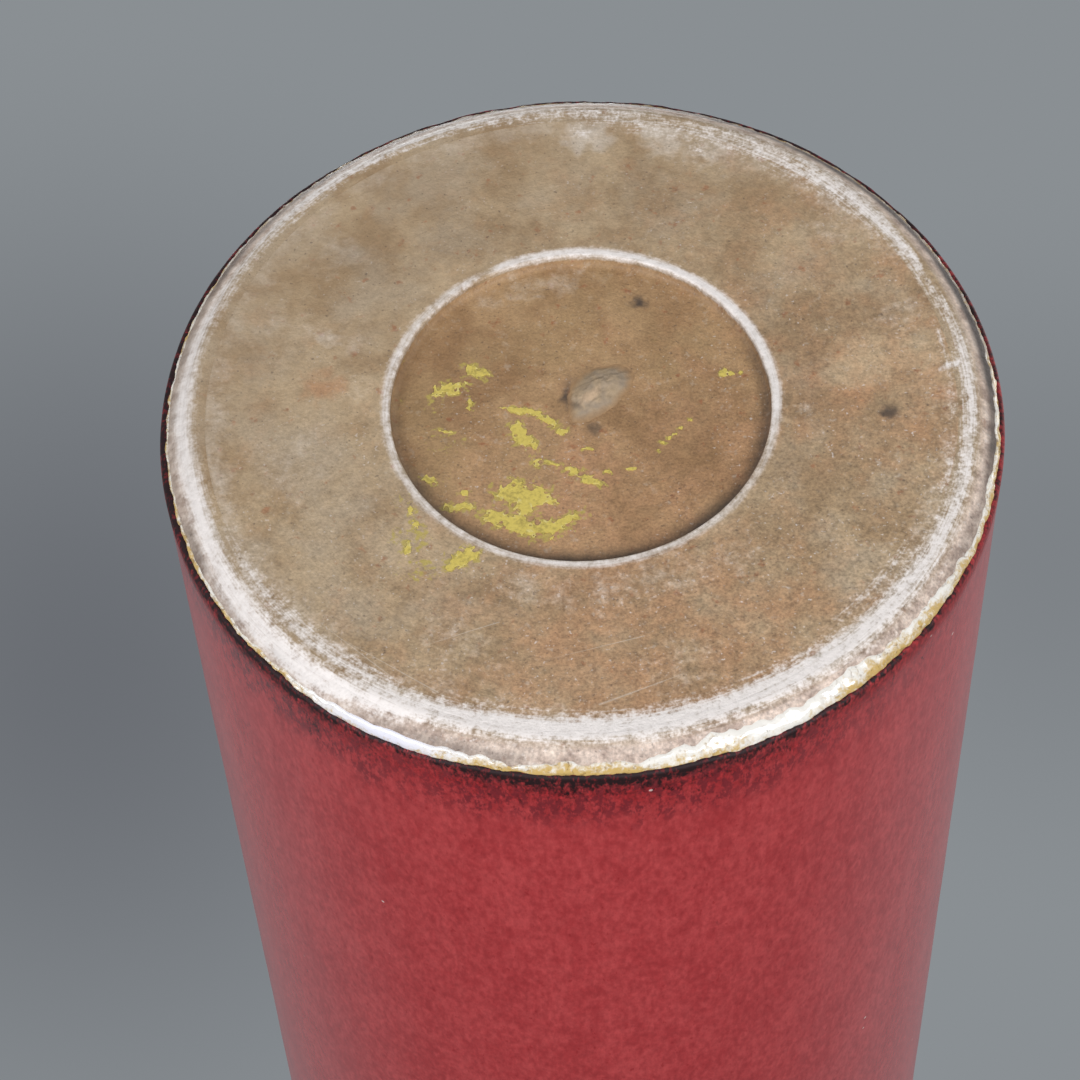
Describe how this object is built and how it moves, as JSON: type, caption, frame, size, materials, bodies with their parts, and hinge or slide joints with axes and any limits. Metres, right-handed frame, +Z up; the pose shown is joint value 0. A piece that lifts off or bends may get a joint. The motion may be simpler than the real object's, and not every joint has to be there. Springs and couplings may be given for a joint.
{
  "type": "brush pot",
  "caption": "Tall straight cylindrical porcelain brush pot, copper-red glaze outside, flat iron-brown base with a shallow central recess.",
  "frame": {"origin": "centre of the base, in the plane that the pot stands on", "axes": "+Z up along the pot's axis, towards the mouth; X and Y lie in the base plane, and the picture's near side is -Y"},
  "size_m": [0.08, 0.08, 0.154],
  "materials": {
    "porcelain": "bare fired porcelain, worn matte",
    "clay_lump": "rough fired clay",
    "red_glaze": "gloss, finely mottled copper red",
    "pale_edge_glaze": "thin gloss glaze, white to yellow ochre",
    "lip_glaze": "thin gloss glaze, off-white",
    "lining_glaze": "gloss, off-white with a faint blue-grey cast",
    "iron_wash": "matte iron-brown wash, mottled",
    "bevel_wash": "matte grey-brown wash",
    "yellow_paint": "matte old yellow paint"
  },
  "bodies": {
    "root": {"wall_cylinder": "porcelain", "base_disc": "porcelain", "slip_fillet": "porcelain", "centre_nipple": "clay_lump", "red_glaze": "red_glaze", "pale_glaze_edge": "pale_edge_glaze", "lip_glaze": "lip_glaze", "lining_glaze": "lining_glaze", "ring_wash": "iron_wash", "recess_wash": "iron_wash", "bevel_wash": "bevel_wash", "paint_flakes": "yellow_paint"}
  },
  "joints": []
}
